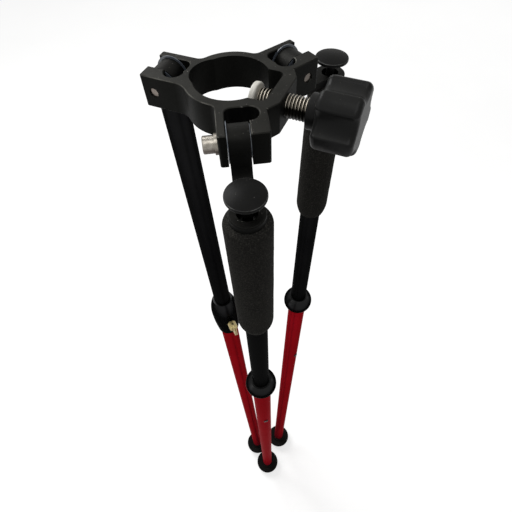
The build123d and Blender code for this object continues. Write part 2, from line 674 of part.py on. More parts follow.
os.makedirs("parts", exist_ok=True)
save("head", make_head())
save("hinge_bolts", hinge_fasteners(hinge_bolt()))
bolt_washer = tube(BOLT_WASHER_RADIUS, BOLT_RADIUS + RUNNING_FIT, BOLT_WASHER, 0)
save("bolt_washers", hinge_fasteners(bolt_washer))
save_clamp()
for leg in LEGS:
    save(f"{leg}_hinge_washers", hinge_washers(leg), leg_place(leg))
for leg in GRIP_LEGS:
    save_grip_leg(leg)
save_plain_leg("left")
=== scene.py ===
import json
import math
from functools import partial

import bmesh
import bpy
import numpy as np
from mathutils import Matrix, Vector, noise


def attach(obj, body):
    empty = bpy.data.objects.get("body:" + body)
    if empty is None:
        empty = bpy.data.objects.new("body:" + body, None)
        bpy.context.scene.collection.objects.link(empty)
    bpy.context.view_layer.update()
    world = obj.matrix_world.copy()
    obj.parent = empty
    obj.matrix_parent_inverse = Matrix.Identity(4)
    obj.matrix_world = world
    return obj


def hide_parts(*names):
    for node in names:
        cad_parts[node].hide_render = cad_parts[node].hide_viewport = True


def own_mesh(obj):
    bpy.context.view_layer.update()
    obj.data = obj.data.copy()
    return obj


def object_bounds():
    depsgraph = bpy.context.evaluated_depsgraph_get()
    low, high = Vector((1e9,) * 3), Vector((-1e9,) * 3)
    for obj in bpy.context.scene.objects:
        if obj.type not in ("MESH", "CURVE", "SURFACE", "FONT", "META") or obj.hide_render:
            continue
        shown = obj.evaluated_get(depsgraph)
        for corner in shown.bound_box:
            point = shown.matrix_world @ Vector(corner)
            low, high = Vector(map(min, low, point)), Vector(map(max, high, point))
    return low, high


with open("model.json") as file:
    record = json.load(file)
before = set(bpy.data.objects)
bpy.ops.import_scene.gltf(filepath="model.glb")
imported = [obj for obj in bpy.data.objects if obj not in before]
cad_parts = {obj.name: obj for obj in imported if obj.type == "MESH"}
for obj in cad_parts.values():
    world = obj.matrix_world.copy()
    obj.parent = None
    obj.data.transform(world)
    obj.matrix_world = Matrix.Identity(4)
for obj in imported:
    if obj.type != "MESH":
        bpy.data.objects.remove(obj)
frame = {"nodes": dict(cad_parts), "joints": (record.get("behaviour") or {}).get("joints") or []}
cad_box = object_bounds()
nodes = frame["nodes"]

# Head plate
# One aluminium plate, machined with small chamfers, bead blasted and anodised black. The chamfers are
# painted lighter as a highlight, most of all on the left, and the upper faces carry a painted sheen and a few
# specks of dust.

HEAD_DARK = (0.0060, 0.0061, 0.0055, 1)
HEAD_LIGHT = (0.0092, 0.0093, 0.0085, 1)
# Colour of the painted highlight on the chamfers.
CHAMFER_HIGHLIGHT = (0.105, 0.103, 0.093, 1)
# Colour of the painted sheen on upper faces and of the dust specks.
PALE_DUST_AND_SHEEN = (0.30, 0.29, 0.26, 1)


def add_node(tree, kind, inputs=None, **settings):
    """Add one node. inputs gives each named socket a value or the socket that feeds it."""
    node = tree.nodes.new(kind)
    for name, value in settings.items():
        setattr(node, name, value)
    for name, value in (inputs or {}).items():
        if isinstance(value, bpy.types.NodeSocket):
            tree.links.new(value, node.inputs[name])
        else:
            node.inputs[name].default_value = value
    return node


def arithmetic(tree, operation, first, second=0.0):
    """Value socket of one step of arithmetic. Each operand is a number or a socket."""
    return add_node(tree, "ShaderNodeMath", {0: first, 1: second}, operation=operation).outputs[0]


def ramp(tree, value, start, end, low=0.0, high=1.0, shape="LINEAR"):
    """Value socket that goes from low to high while the given value goes from start to end."""
    return add_node(tree, "ShaderNodeMapRange", {
        "Value": value, "From Min": start, "From Max": end, "To Min": low, "To Max": high,
    }, interpolation_type=shape).outputs[0]


def new_group(name, inputs, outputs):
    """Start a shader group with float sockets. Returns the tree, its input node and its output node."""
    tree = bpy.data.node_groups.new(name, "ShaderNodeTree")
    for socket, value in inputs.items():
        made = tree.interface.new_socket(socket, in_out="INPUT", socket_type="NodeSocketFloat")
        made.default_value = value
    for socket in outputs:
        tree.interface.new_socket(socket, in_out="OUTPUT", socket_type="NodeSocketFloat")
    return tree, tree.nodes.new("NodeGroupInput"), tree.nodes.new("NodeGroupOutput")


def grain_group():
    """Uneven grain in object space: a value between two limits, and a height for bump."""
    tree, given, result = new_group("grain", {"Scale": 500.0, "Low": 0.4, "High": 0.5}, ("Value", "Height"))
    place = add_node(tree, "ShaderNodeTexCoord")
    cloud = add_node(tree, "ShaderNodeTexNoise", {
        "Vector": place.outputs["Object"],
        "Scale": given.outputs["Scale"],
        "Detail": 5.0,
        "Roughness": 0.6,
    })
    spread = ramp(tree, cloud.outputs["Fac"], 0.3, 0.7, given.outputs["Low"], given.outputs["High"])
    tree.links.new(spread, result.inputs["Value"])
    tree.links.new(cloud.outputs["Fac"], result.inputs["Height"])
    return tree


def edge_highlight_group():
    """Mask of a painted highlight on the slanted chamfers of flat plates, broken up in patches.

    Even is the share that is painted lighter on every side. The rest is painted only on the side that looks
    to -X, as a highlight from a light at the left.
    """
    tree, given, result = new_group("edge_highlight", {"Amount": 1.0, "Even": 1.0}, ("Mask",))
    place = add_node(tree, "ShaderNodeTexCoord")
    facing = add_node(tree, "ShaderNodeSeparateXYZ", {"Vector": place.outputs["Normal"]})
    slope = arithmetic(tree, "ABSOLUTE", facing.outputs["Z"])
    rising = ramp(tree, slope, 0.45, 0.62, shape="SMOOTHSTEP")
    falling = ramp(tree, slope, 0.8, 0.95, low=1.0, high=0.0, shape="SMOOTHSTEP")
    band = arithmetic(tree, "MULTIPLY", rising, falling)
    patches = add_node(tree, "ShaderNodeTexNoise", {
        "Vector": place.outputs["Object"], "Scale": 160.0, "Detail": 4.0,
    })
    patchy = ramp(tree, patches.outputs["Fac"], 0.35, 0.65, low=0.25)
    broken = arithmetic(tree, "MULTIPLY", band, patchy)
    sided = ramp(tree, facing.outputs["X"], -0.05, -0.3, low=given.outputs["Even"])
    highlighted = arithmetic(tree, "MULTIPLY", broken, sided)
    mask = arithmetic(tree, "MULTIPLY", highlighted, given.outputs["Amount"])
    tree.links.new(mask, result.inputs["Mask"])
    return tree


def dust_and_top_sheen_group():
    """Mask on faces that look up: a painted sheen in a thin cloudy film, and a few separate specks of dust.
    """
    tree, given, result = new_group("dust_and_top_sheen", {"Film": 0.1, "Specks": 0.5}, ("Mask",))
    place = add_node(tree, "ShaderNodeTexCoord")
    facing = add_node(tree, "ShaderNodeSeparateXYZ", {"Vector": place.outputs["Normal"]})
    upward = ramp(tree, facing.outputs["Z"], 0.55, 0.95, shape="SMOOTHSTEP")
    cloud = add_node(tree, "ShaderNodeTexNoise", {
        "Vector": place.outputs["Object"], "Scale": 60.0, "Detail": 6.0,
    })
    sheen_film = arithmetic(tree, "MULTIPLY", cloud.outputs["Fac"], given.outputs["Film"])
    fleck = add_node(tree, "ShaderNodeTexNoise", {
        "Vector": place.outputs["Object"], "Scale": 1100.0, "Detail": 1.0,
    })
    spot = ramp(tree, fleck.outputs["Fac"], 0.74, 0.8, high=given.outputs["Specks"])
    both = arithmetic(tree, "ADD", sheen_film, spot)
    mask = arithmetic(tree, "MULTIPLY", both, upward)
    tree.links.new(mask, result.inputs["Mask"])
    return tree


grain = grain_group()
edge_highlight = edge_highlight_group()
dust_and_top_sheen = dust_and_top_sheen_group()


def new_material(name):
    """Start a material. Returns it, its tree and its Principled shader."""
    material = bpy.data.materials.new(name)
    material.use_nodes = True
    tree = material.node_tree
    return material, tree, tree.nodes["Principled BSDF"]


def use_group(tree, group, **values):
    """Place a shared group in a material with its own values."""
    placed = add_node(tree, "ShaderNodeGroup", node_tree=group)
    for name, value in values.items():
        placed.inputs[name].default_value = value
    return placed


def blend_colour(tree, mask, below, above):
    """Colour socket that goes from one colour to another with a mask. Either may be a socket."""
    mix = add_node(tree, "ShaderNodeMix", {0: mask, 6: below, 7: above}, data_type="RGBA")
    return mix.outputs[2]


def bump_from(tree, height, strength, distance):
    """Normal socket of a bump."""
    bump = add_node(tree, "ShaderNodeBump", {"Height": height, "Strength": strength, "Distance": distance})
    return bump.outputs["Normal"]


def feed(tree, shader, colour, rough, normal=None):
    """Link a colour, a roughness and a normal to the shader."""
    tree.links.new(colour, shader.inputs["Base Color"])
    tree.links.new(rough, shader.inputs["Roughness"])
    if normal is not None:
        tree.links.new(normal, shader.inputs["Normal"])


def dress(material, *names):
    """Give CAD nodes a material."""
    for name in names:
        mesh = nodes[name].data
        mesh.materials.clear()
        mesh.materials.append(material)


def black_anodised(name, dark, light, highlighted, sheen_film):
    """Bead-blasted black anodising with a painted highlight on the chamfers, a painted sheen on upper faces
    and specks of dust.
    """
    material, tree, shader = new_material(name)
    blast = use_group(tree, grain, Scale=1400.0, Low=0.42, High=0.56)
    tone = use_group(tree, grain, Scale=70.0, Low=0.0, High=1.0)
    # Painted highlight on the chamfers, painted sheen on the upper faces, and specks of dust.
    highlight = use_group(tree, edge_highlight, Amount=highlighted, Even=0.1)
    dust_and_sheen = use_group(tree, dust_and_top_sheen, Film=sheen_film, Specks=0.5)
    body = blend_colour(tree, tone.outputs["Value"], dark, light)
    edged = blend_colour(tree, highlight.outputs["Mask"], body, CHAMFER_HIGHLIGHT)
    with_dust_and_sheen = blend_colour(tree, dust_and_sheen.outputs["Mask"], edged, PALE_DUST_AND_SHEEN)
    blasted = bump_from(tree, blast.outputs["Height"], strength=0.12, distance=0.0002)
    feed(tree, shader, with_dust_and_sheen, blast.outputs["Value"], blasted)
    shader.inputs["Metallic"].default_value = 0.5
    shader.inputs["Specular IOR Level"].default_value = 0.0
    return material


head_black = black_anodised("head_black", HEAD_DARK, HEAD_LIGHT, highlighted=1.0, sheen_film=0.07)
dress(head_black, "head")

# Hinge bolts and their washers
# Three turned stainless socket head screws cross the forks, each with a washer under its head. The steel
# is a slightly warm grey, painted darker on the ends and undersides as shade.

STEEL_DARK = (0.20, 0.183, 0.156, 1)
STEEL_LIGHT = (0.36, 0.338, 0.302, 1)
# Colour of the painted shade on ends and undersides.
STEEL_SHADED = (0.115, 0.098, 0.087, 1)


def underside_shade_group():
    """Mask of painted shade on faces that do not look up, from none to full between two slopes."""
    tree, given, result = new_group("underside_shade", {"Clean": 0.4, "Full": 0.0}, ("Mask",))
    place = add_node(tree, "ShaderNodeTexCoord")
    facing = add_node(tree, "ShaderNodeSeparateXYZ", {"Vector": place.outputs["Normal"]})
    mask = ramp(
        tree, facing.outputs["Z"], given.outputs["Clean"], given.outputs["Full"], shape="SMOOTHSTEP",
    )
    tree.links.new(mask, result.inputs["Mask"])
    return tree


underside_shade = underside_shade_group()


def stainless_steel():
    """Turned stainless steel, painted darker on its ends and below as shade."""
    material, tree, shader = new_material("stainless_steel")
    turning = use_group(tree, grain, Scale=900.0, Low=0.22, High=0.36)
    tone = use_group(tree, grain, Scale=420.0, Low=0.0, High=1.0)
    # Painted shade on the ends and lower sides.
    shading = use_group(tree, underside_shade, Clean=0.4, Full=-0.05)
    bright = blend_colour(tree, tone.outputs["Value"], STEEL_DARK, STEEL_LIGHT)
    colour = blend_colour(tree, shading.outputs["Mask"], bright, STEEL_SHADED)
    turned = bump_from(tree, turning.outputs["Height"], strength=0.1, distance=0.0001)
    feed(tree, shader, colour, turning.outputs["Value"], turned)
    shader.inputs["Metallic"].default_value = 1.0
    return material


steel = stainless_steel()
dress(steel, "hinge_bolts", "bolt_washers")

# Clamp pad
# A turned nylon button on the end of the clamp screw. It is off white, slightly waxy, and it has
# yellowed a little.

PAD_YELLOWED = (0.56, 0.54, 0.48, 1)
PAD_CLEAN = (0.68, 0.665, 0.615, 1)


def white_nylon():
    """Off-white nylon with faint cloudiness."""
    material, tree, shader = new_material("white_nylon")
    cloud = use_group(tree, grain, Scale=90.0, Low=0.0, High=1.0)
    skin = use_group(tree, grain, Scale=1500.0, Low=0.38, High=0.5)
    colour = blend_colour(tree, cloud.outputs["Value"], PAD_YELLOWED, PAD_CLEAN)
    waxy = bump_from(tree, skin.outputs["Height"], strength=0.08, distance=0.0001)
    feed(tree, shader, colour, skin.outputs["Value"], waxy)
    return material


dress(white_nylon(), "clamp_pad", "brake_plug")

# Clamp screw
# A coarse stainless screw through the boss of the head, with a thread of 2 mm pitch and a spigot that
# turns in the pad. The thread is cut into the full diameter. Its groove and lower side are painted dark as
# shade.

SPIGOT_LENGTH = 0.0024
SCREW_PITCH = 0.002
SCREW_CREST = 0.007
SCREW_DEPTH = 0.0014
SCREW_BEVEL = 0.001
SCREW_SIDES = 72
SCREW_RINGS = 300
CREST_EDGE = 0.08       # end of the flat crest, in pitches from its middle
ROOT_EDGE = 0.36        # start of the flat root
FLAT_WITHIN = 1e-5      # vertices of one end face lie this close to it
THREAD_DARK = (0.36, 0.322, 0.265, 1)
THREAD_LIGHT = (0.54, 0.495, 0.425, 1)
# Colours of the painted shade in the groove and on the lower side.
THREAD_GROOVE_SHADE = (0.085, 0.076, 0.062, 1)
SCREW_UNDERSIDE_SHADE = (0.009, 0.0085, 0.0065, 1)


def shaded_thread_steel():
    """Thread-cut steel, painted dark in the groove and on its lower side as shade."""
    material, tree, shader = new_material("shaded_thread_steel")
    sheen_film = use_group(tree, grain, Scale=700.0, Low=0.34, High=0.52)
    tone = use_group(tree, grain, Scale=140.0, Low=0.0, High=1.0)
    bright = blend_colour(tree, tone.outputs["Value"], THREAD_DARK, THREAD_LIGHT)
    # Painted shade in the groove.
    groove = add_node(tree, "ShaderNodeAttribute", attribute_name="groove")
    cut = blend_colour(tree, groove.outputs["Fac"], bright, THREAD_GROOVE_SHADE)
    # Painted shade on the lower side.
    shading = use_group(tree, underside_shade, Clean=0.6, Full=0.36)
    colour = blend_colour(tree, shading.outputs["Mask"], cut, SCREW_UNDERSIDE_SHADE)
    smeared = bump_from(tree, sheen_film.outputs["Height"], strength=0.1, distance=0.0001)
    feed(tree, shader, colour, sheen_film.outputs["Value"], smeared)
    shader.inputs["Metallic"].default_value = 1.0
    return material


def along(name, axis):
    """Vertices of a CAD node, and how far along an axis each of them lies."""
    points = np.empty(len(nodes[name].data.vertices) * 3)
    nodes[name].data.vertices.foreach_get("co", points)
    points = points.reshape(-1, 3)
    return points, points @ np.array(axis)


def end_centre(name, axis, highest):
    """Centre of a straight piece's end face, the far one along the axis or the near one."""
    points, reach = along(name, axis)
    edge = reach.max() if highest else reach.min()
    ring = points[np.abs(reach - edge) < FLAT_WITHIN]
    return Vector((ring.min(0) + ring.max(0)) / 2)


def stand(centre, axis):
    """Matrix that takes the Z axis at the origin to an axis at a centre."""
    return Matrix.Translation(centre) @ Vector(axis).to_track_quat("Z", "Y").to_matrix().to_4x4()


def new_shape_tree(name, sizes, counts=()):
    """Start a geometry tree with named sizes and counts and a finish. Returns it and its two end nodes."""
    tree = bpy.data.node_groups.new(name, "GeometryNodeTree")
    for size in sizes:
        tree.interface.new_socket(size, in_out="INPUT", socket_type="NodeSocketFloat")
    for count in counts:
        tree.interface.new_socket(count, in_out="INPUT", socket_type="NodeSocketInt")
    tree.interface.new_socket("Finish", in_out="INPUT", socket_type="NodeSocketMaterial")
    tree.interface.new_socket("Geometry", in_out="OUTPUT", socket_type="NodeSocketGeometry")
    return tree, tree.nodes.new("NodeGroupInput"), tree.nodes.new("NodeGroupOutput")


def end_shape_tree(tree, given, result, shape):
    """Make a tree's shape real and give it the finish."""
    real = add_node(tree, "GeometryNodeRealizeInstances", {"Geometry": shape})
    finished = add_node(tree, "GeometryNodeSetMaterial", {
        "Geometry": real.outputs[0], "Material": given.outputs["Finish"],
    })
    tree.links.new(finished.outputs[0], result.inputs["Geometry"])


def thread_tree():
    """Round bar about Z with a screw thread cut in it and chamfered ends."""
    tree, given, result = new_shape_tree(
        "cut_thread", ("Length", "Pitch", "Crest", "Depth", "Bevel"), ("Sides", "Rings"),
    )
    maths = partial(arithmetic, tree)
    bar = add_node(tree, "GeometryNodeMeshCylinder", {
        "Vertices": given.outputs["Sides"],
        "Side Segments": given.outputs["Rings"],
        "Radius": given.outputs["Crest"],
        "Depth": given.outputs["Length"],
    })
    position = tree.nodes.new("GeometryNodeInputPosition")
    place = add_node(tree, "ShaderNodeSeparateXYZ", {"Vector": position.outputs[0]})
    x, y, z = place.outputs
    turn = maths("DIVIDE", maths("ARCTAN2", y, x), 2 * math.pi)
    phase = maths("FRACT", maths("SUBTRACT", maths("DIVIDE", z, given.outputs["Pitch"]), turn))
    flank = maths("ABSOLUTE", maths("SUBTRACT", phase, 0.5))
    groove = ramp(tree, flank, CREST_EDGE, ROOT_EDGE, shape="SMOOTHSTEP")
    cut = maths("MULTIPLY", groove, given.outputs["Depth"])
    half = maths("MULTIPLY", given.outputs["Length"], 0.5)
    to_end = maths("SUBTRACT", half, maths("ABSOLUTE", z))
    bevel = maths("MAXIMUM", maths("SUBTRACT", given.outputs["Bevel"], to_end), 0.0)
    inward = maths("DIVIDE", maths("MAXIMUM", cut, bevel), given.outputs["Crest"])
    keep = maths("SUBTRACT", 1.0, inward)
    scaled = add_node(tree, "ShaderNodeCombineXYZ", {
        "X": maths("MULTIPLY", x, keep), "Y": maths("MULTIPLY", y, keep), "Z": z,
    })
    marked = add_node(tree, "GeometryNodeStoreNamedAttribute", {
        "Geometry": bar.outputs["Mesh"], "Name": "groove", "Value": groove,
    })
    shaped = add_node(tree, "GeometryNodeSetPosition", {
        "Geometry": marked.outputs[0], "Position": scaled.outputs[0],
    })
    end_shape_tree(tree, given, result, shaped.outputs[0])
    return tree


def mesh_from_tree(name, tree, place, **values):
    """Run a geometry tree once and return its result as a plain mesh object, put in its place."""
    carrier = bpy.data.objects.new(name + "_carrier", bpy.data.meshes.new(name + "_carrier"))
    bpy.context.scene.collection.objects.link(carrier)
    modifier = carrier.modifiers.new("shape", "NODES")
    modifier.node_group = tree
    sockets = {s.name: s.identifier for s in tree.interface.items_tree if s.in_out == "INPUT"}
    for label, value in values.items():
        modifier[sockets[label]] = value
    carrier.update_tag()
    bpy.context.view_layer.update()
    evaluated = carrier.evaluated_get(bpy.context.evaluated_depsgraph_get())
    mesh = bpy.data.meshes.new_from_object(evaluated)
    bpy.data.objects.remove(carrier)
    mesh.transform(place)
    mesh.shade_smooth()
    mesh.name = name
    piece = bpy.data.objects.new(name, mesh)
    bpy.context.scene.collection.objects.link(piece)
    return piece


joints = {joint["name"]: joint for joint in frame["joints"]}
clamp_axis = Vector(joints["clamp_screw_turn"]["axis"])
screw_inner = end_centre("clamp_screw", clamp_axis, True)
screw_outer = end_centre("clamp_screw", clamp_axis, False)
screw_length = (screw_inner - screw_outer).length - SPIGOT_LENGTH
screw_middle = screw_outer + clamp_axis * screw_length / 2
screw = mesh_from_tree(
    "clamp_screw_thread", thread_tree(), stand(screw_middle, clamp_axis),
    Length=screw_length, Pitch=SCREW_PITCH, Crest=SCREW_CREST, Depth=SCREW_DEPTH, Bevel=SCREW_BEVEL,
    Sides=SCREW_SIDES, Rings=SCREW_RINGS, Finish=shaded_thread_steel(),
)
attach(screw, "clamp_screw")
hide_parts("clamp_screw")

# Clamp knob
# A moulded black plastic knob with five lobes and a round collar, pressed on the screw. The skin has a
# fine spark texture, a soft gloss, a little dust and a faint painted sheen on its upper faces.

KNOB_DARK = (0.0105, 0.0106, 0.0106, 1)
KNOB_LIGHT = (0.0150, 0.0151, 0.0150, 1)
FINE_DUST_AND_SHEEN = (0.26, 0.25, 0.23, 1)


def knob_plastic():
    """Moulded black plastic with a fine spark texture, a little dust and a faint painted sheen on top."""
    material, tree, shader = new_material("knob_plastic")
    spark = use_group(tree, grain, Scale=2200.0, Low=0.34, High=0.5)
    tone = use_group(tree, grain, Scale=45.0, Low=0.0, High=1.0)
    # Faint painted sheen on upper faces, with specks of dust.
    dust_and_sheen = use_group(tree, dust_and_top_sheen, Film=0.03, Specks=0.3)
    body = blend_colour(tree, tone.outputs["Value"], KNOB_DARK, KNOB_LIGHT)
    with_dust_and_sheen = blend_colour(tree, dust_and_sheen.outputs["Mask"], body, FINE_DUST_AND_SHEEN)
    sparked = bump_from(tree, spark.outputs["Height"], strength=0.1, distance=0.0001)
    feed(tree, shader, with_dust_and_sheen, spark.outputs["Value"], sparked)
    shader.inputs["Specular IOR Level"].default_value = 0.02
    shader.inputs["Coat Weight"].default_value = 0.11
    shader.inputs["Coat Roughness"].default_value = 0.22
    return material


dress(knob_plastic(), "clamp_knob")

# Leg brackets and the plain leg's hinge plug
# Cast and machined black pieces with the same anodising as the head. The tongues turn between nylon
# washers, which are thin and slightly blue.

BRACKET_DARK = (0.0060, 0.0060, 0.0057, 1)
BRACKET_LIGHT = (0.0092, 0.0092, 0.0088, 1)
WASHER_DARK = (0.075, 0.088, 0.108, 1)
WASHER_LIGHT = (0.12, 0.135, 0.16, 1)


def washer_nylon():
    """Thin natural nylon, cooler and shinier than the pad."""
    material, tree, shader = new_material("washer_nylon")
    cloud = use_group(tree, grain, Scale=150.0, Low=0.0, High=1.0)
    skin = use_group(tree, grain, Scale=1800.0, Low=0.25, High=0.38)
    colour = blend_colour(tree, cloud.outputs["Value"], WASHER_DARK, WASHER_LIGHT)
    smooth = bump_from(tree, skin.outputs["Height"], strength=0.06, distance=0.0001)
    feed(tree, shader, colour, skin.outputs["Value"], smooth)
    return material


# A faint painted chamfer highlight and painted sheen, as on the head.
bracket_black = black_anodised("bracket_black", BRACKET_DARK, BRACKET_LIGHT, highlighted=0.06, sheen_film=0.03)
dress(bracket_black, "front_bracket", "right_bracket", "left_hinge_plug")
dress(washer_nylon(), "front_hinge_washers", "right_hinge_washers", "left_hinge_washers")

# Upper tubes
# Drawn aluminium tubes, anodised black, with faint lines along them from drawing. Two are fixed in the
# rings of their brackets and the third on the hinge plug.

TUBE_DARK = (0.0065, 0.0065, 0.0070, 1)
TUBE_LIGHT = (0.0100, 0.0100, 0.0105, 1)
TUBE_EDGE = (0.02, 0.02, 0.02, 1)


def drawn_lines_group():
    """Fine lines along a leg: a value between two limits and a height."""
    tree, given, result = new_group("drawn_lines", {"Low": 0.2, "High": 0.3}, ("Value", "Height"))
    place = add_node(tree, "ShaderNodeTexCoord")
    stretched = add_node(tree, "ShaderNodeMapping", {
        "Vector": place.outputs["Object"], "Scale": (1300.0, 1300.0, 5.0),
    })
    lines = add_node(tree, "ShaderNodeTexNoise", {
        "Vector": stretched.outputs[0], "Scale": 1.0, "Detail": 3.0,
    })
    spread = ramp(tree, lines.outputs["Fac"], 0.3, 0.7, given.outputs["Low"], given.outputs["High"])
    tree.links.new(spread, result.inputs["Value"])
    tree.links.new(lines.outputs["Fac"], result.inputs["Height"])
    return tree


drawn_lines = drawn_lines_group()


def black_tube():
    """Black anodised tube, whose edges stay dark before a white surround."""
    material, tree, shader = new_material("black_tube")
    lines = use_group(tree, drawn_lines, Low=0.4, High=0.5)
    tone = use_group(tree, grain, Scale=25.0, Low=0.0, High=1.0)
    colour = blend_colour(tree, tone.outputs["Value"], TUBE_DARK, TUBE_LIGHT)
    drawn = bump_from(tree, lines.outputs["Height"], strength=0.02, distance=0.0001)
    feed(tree, shader, colour, lines.outputs["Value"], drawn)
    shader.inputs["Metallic"].default_value = 1.0
    shader.inputs["Specular Tint"].default_value = TUBE_EDGE
    shader.inputs["Coat Weight"].default_value = 0.026
    shader.inputs["Coat Roughness"].default_value = 0.36
    return material


dress(black_tube(), "front_upper_tube", "right_upper_tube", "left_upper_tube")

# Foam grips
# Sleeves of closed-cell foam rubber pushed over the two upper tubes with thumb buttons. The cut skin
# shows fine cells, is charcoal with a brownish cast, and its shoulder and end are soft.

FOAM_AROUND = 144
FOAM_ROWS = 220
FOAM_DENSE_PART = 0.04          # share of the rows that crowd at the shoulder
FOAM_SHOULDER = 0.0045
FOAM_TAPER = 0.012
FOAM_TAPER_STEP = 0.0026
FOAM_TAPER_CURVE = 1.7
FOAM_BORE = 0.0096
FOAM_SWELL = 0.00022            # depth of the unevenness of the skin
FOAM_SWELL_MEAN = 0.5
FOAM_SWELL_SWING = 0.4
FOAM_LUMPS = 90.0               # waves in a metre
FOAM_DIMPLES = 420.0
FOAM_DIMPLE_SHARE = 0.5
FOAM_PIT = (0.0104, 0.0102, 0.0097, 1)
FOAM_SKIN = (0.0162, 0.0159, 0.0150, 1)
FOAM_WORN = (0.0192, 0.0183, 0.0165, 1)
FOAM_FLECK = (0.049, 0.047, 0.042, 1)


def foam_rubber():
    """Charcoal foam with small cells and brownish wear."""
    material, tree, shader = new_material("foam_rubber")
    place = add_node(tree, "ShaderNodeTexCoord")
    cells = add_node(tree, "ShaderNodeTexVoronoi", {
        "Vector": place.outputs["Object"], "Scale": 1500.0, "Randomness": 1.0,
    })
    pits = ramp(tree, cells.outputs["Distance"], 0.1, 0.65)
    speck = use_group(tree, grain, Scale=1100.0, Low=0.0, High=1.0)
    bright = ramp(tree, speck.outputs["Value"], 0.45, 1.0)
    patch = use_group(tree, grain, Scale=55.0, Low=0.0, High=1.0)
    dark = blend_colour(tree, pits, FOAM_PIT, FOAM_SKIN)
    brown = blend_colour(tree, patch.outputs["Value"], dark, FOAM_WORN)
    flecked = blend_colour(tree, bright, brown, FOAM_FLECK)
    rough = use_group(tree, grain, Scale=700.0, Low=0.86, High=0.98)
    pitted = bump_from(tree, pits, strength=0.35, distance=0.0003)
    feed(tree, shader, flecked, rough.outputs["Value"], pitted)
    shader.inputs["Specular IOR Level"].default_value = 0.03
    return material


def foam_radius(depth, length, outer):
    """Outside radius at a depth below the sleeve's top."""
    radius = outer
    if depth < FOAM_SHOULDER:
        radius -= FOAM_SHOULDER - math.sqrt(FOAM_SHOULDER**2 - (FOAM_SHOULDER - depth) ** 2)
    left = length - depth
    if left < FOAM_TAPER:
        part = 1 - left / FOAM_TAPER
        radius -= FOAM_TAPER_STEP * part**FOAM_TAPER_CURVE
    return radius


def foam_profile(length, outer):
    """Radius and height of each row, down the outside and back up the bore. Rows crowd at the shoulder."""
    profile = []
    for row in range(FOAM_ROWS + 1):
        part = row / FOAM_ROWS
        depth = length * part
        if part < FOAM_DENSE_PART:
            depth = length * FOAM_DENSE_PART * (part / FOAM_DENSE_PART) ** 2
        profile.append((foam_radius(depth, length, outer), length - depth))
    profile.append((FOAM_BORE, 0.0))
    profile.append((FOAM_BORE, length))
    return profile


def foam_spot(angle, radius, height):
    """Point of the sleeve about Z. The outside skin is uneven and the bore is true."""
    outward = Vector((math.cos(angle), math.sin(angle), 0))
    spot = outward * radius + Vector((0, 0, height))
    if radius > FOAM_BORE:
        wave = noise.noise(spot * FOAM_LUMPS) + FOAM_DIMPLE_SHARE * noise.noise(spot * FOAM_DIMPLES)
        spot -= outward * FOAM_SWELL * (FOAM_SWELL_MEAN + FOAM_SWELL_SWING * wave)
    return spot


def foam_sleeve(name, node, axis, material):
    """Closed sleeve in the place of a CAD grip."""
    points, reach = along(node, axis)
    low = end_centre(node, axis, False)
    length = reach.max() - reach.min()
    offset = points - np.array(low)
    side = offset - np.outer(offset @ np.array(axis), np.array(axis))
    outer = np.linalg.norm(side, axis=1).max()
    mesh = bmesh.new()
    rings = []
    for radius, height in foam_profile(length, outer):
        angles = [2 * math.pi * step / FOAM_AROUND for step in range(FOAM_AROUND)]
        rings.append([mesh.verts.new(foam_spot(angle, radius, height)) for angle in angles])
    for upper, lower in zip(rings, rings[1:] + rings[:1]):
        for step in range(FOAM_AROUND):
            after = (step + 1) % FOAM_AROUND
            mesh.faces.new((upper[step], lower[step], lower[after], upper[after]))
    bmesh.ops.recalc_face_normals(mesh, faces=mesh.faces)
    data = bpy.data.meshes.new(name)
    mesh.to_mesh(data)
    mesh.free()
    data.transform(stand(low, axis))
    data.materials.append(material)
    data.shade_smooth()
    piece = bpy.data.objects.new(name, data)
    bpy.context.scene.collection.objects.link(piece)
    return piece


foam = foam_rubber()
for leg in ("front", "right"):
    up = -Vector(joints[f"{leg}_leg_extend"]["axis"])
    sleeve = foam_sleeve(f"{leg}_foam_sleeve", f"{leg}_grip", up, foam)
    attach(sleeve, f"leg_{leg}")
    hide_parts(f"{leg}_grip")

# Thumb buttons
# Round black plastic buttons with a low dome and a rim painted lighter as a highlight, each on a stem that
# goes down into the tube.

BUTTON_DARK = (0.0045, 0.0045, 0.0045, 1)
BUTTON_LIGHT = (0.0065, 0.0065, 0.0064, 1)
BUTTON_RIM_HIGHLIGHT = (0.13, 0.13, 0.127, 1)


def thumb_black():
    """Even black plastic with a painted highlight on its rim."""
    material, tree, shader = new_material("thumb_black")
    skin = use_group(tree, grain, Scale=2200.0, Low=0.34, High=0.46)
    tone = use_group(tree, grain, Scale=60.0, Low=0.0, High=1.0)
    # Painted highlight on the rim, and a faint painted sheen with specks of dust on top.
    rim = use_group(tree, edge_highlight, Amount=1.0)
    dust_and_sheen = use_group(tree, dust_and_top_sheen, Film=0.01, Specks=0.25)
    body = blend_colour(tree, tone.outputs["Value"], BUTTON_DARK, BUTTON_LIGHT)
    rimmed = blend_colour(tree, rim.outputs["Mask"], body, BUTTON_RIM_HIGHLIGHT)
    with_dust_and_sheen = blend_colour(tree, dust_and_sheen.outputs["Mask"], rimmed, FINE_DUST_AND_SHEEN)
    smooth = bump_from(tree, skin.outputs["Height"], strength=0.06, distance=0.0001)
    feed(tree, shader, with_dust_and_sheen, skin.outputs["Value"], smooth)
    shader.inputs["Specular IOR Level"].default_value = 0.02
    shader.inputs["Coat Weight"].default_value = 0.07
    shader.inputs["Coat Roughness"].default_value = 0.3
    return material


dress(thumb_black(), "front_button", "right_button")

# Release mechanism inside the grip legs, and the plain leg's guide
# Moulded bushes and collets, a bare aluminium rod and a brass wedge. They are seen only where a leg is
# drawn out or a tube's end is open.

